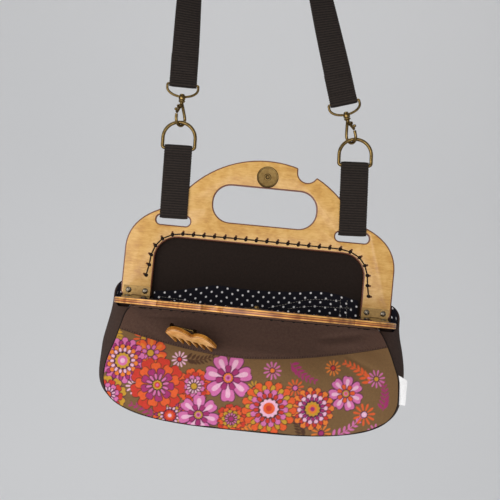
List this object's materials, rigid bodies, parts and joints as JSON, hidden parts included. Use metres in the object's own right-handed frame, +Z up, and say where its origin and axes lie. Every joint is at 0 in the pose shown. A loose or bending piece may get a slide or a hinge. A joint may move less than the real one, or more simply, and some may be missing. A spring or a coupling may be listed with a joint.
{
  "type": "mini frame handbag with hinged wooden handle plates, hanging open by its shoulder strap",
  "caption": "Small frame handbag: two hinged plywood handle plates, cloth body with a printed front, and a webbing shoulder strap on swivel trigger hooks.",
  "frame": {"origin": "underside of the shoulder strap at its highest point, where the bag hangs", "axes": "+X to the right as the bag is seen from its open front, -Y towards the front, +Z up"},
  "size_m": [0.2749, 0.1616, 0.6198],
  "materials": {
    "plywood": "satin",
    "brass": "antique satin",
    "canvas": "matt weave",
    "print_cloth": "matt printed weave",
    "dotted_lining": "matt weave",
    "webbing": "ribbed weave",
    "tape": "matt"
  },
  "bodies": {
    "bag": {"back_plate": "plywood", "front_plate": "plywood", "brooch": "plywood", "back_snap": "brass", "front_snap": "brass", "left_hinge_back_leaf": "brass", "left_hinge_back_screw_a": "brass", "left_hinge_back_screw_b": "brass", "left_hinge_front_leaf": "brass", "left_hinge_front_screw_a": "brass", "left_hinge_front_screw_b": "brass", "left_hinge_pin": "brass", "right_hinge_back_leaf": "brass", "right_hinge_back_screw_a": "brass", "right_hinge_back_screw_b": "brass", "right_hinge_front_leaf": "brass", "right_hinge_front_screw_a": "brass", "right_hinge_front_screw_b": "brass", "right_hinge_pin": "brass", "brooch_pin": "brass", "left_ring": "brass", "left_eye": "brass", "right_ring": "brass", "right_eye": "brass", "yoke": "canvas", "back_panel": "canvas", "gusset": "canvas", "print_panel": "print_cloth", "left_lining": "dotted_lining", "right_lining": "dotted_lining", "pocket": "dotted_lining", "left_loop": "webbing", "right_loop": "webbing", "shoulder_strap": "webbing", "side_tag": "tape"},
    "left_hook": {"left_hook": "brass", "left_gate_pin": "brass"},
    "left_gate": {"left_gate": "brass"},
    "right_hook": {"right_hook": "brass", "right_gate_pin": "brass"},
    "right_gate": {"right_gate": "brass"}
  },
  "joints": [
    {"name": "left_swivel", "type": "hinge", "parent": "bag", "child": "left_hook", "pos_m": [-0.02483, 0, -0.34468], "axis": [-0.0262, 0, 0.9997], "range_deg": [-12, 70]},
    {"name": "left_trigger", "type": "hinge", "parent": "left_hook", "child": "left_gate", "pos_m": [-0.02613, -0.00131, -0.32991], "axis": [0.8189, -0.5736, 0.0214], "range_deg": [0, 30], "stiffness_Nm_per_rad": 0.005, "springref_deg": -28.65},
    {"name": "right_swivel", "type": "hinge", "parent": "bag", "child": "right_hook", "pos_m": [0.1334, 0, -0.34543], "axis": [-0.3007, 0, 0.9537], "range_deg": [-70, 12]},
    {"name": "right_trigger", "type": "hinge", "parent": "right_hook", "child": "right_gate", "pos_m": [0.12982, -0.00131, -0.33104], "axis": [0.7812, 0.5736, 0.2463], "range_deg": [0, 30], "stiffness_Nm_per_rad": 0.005, "springref_deg": -28.65}
  ]
}
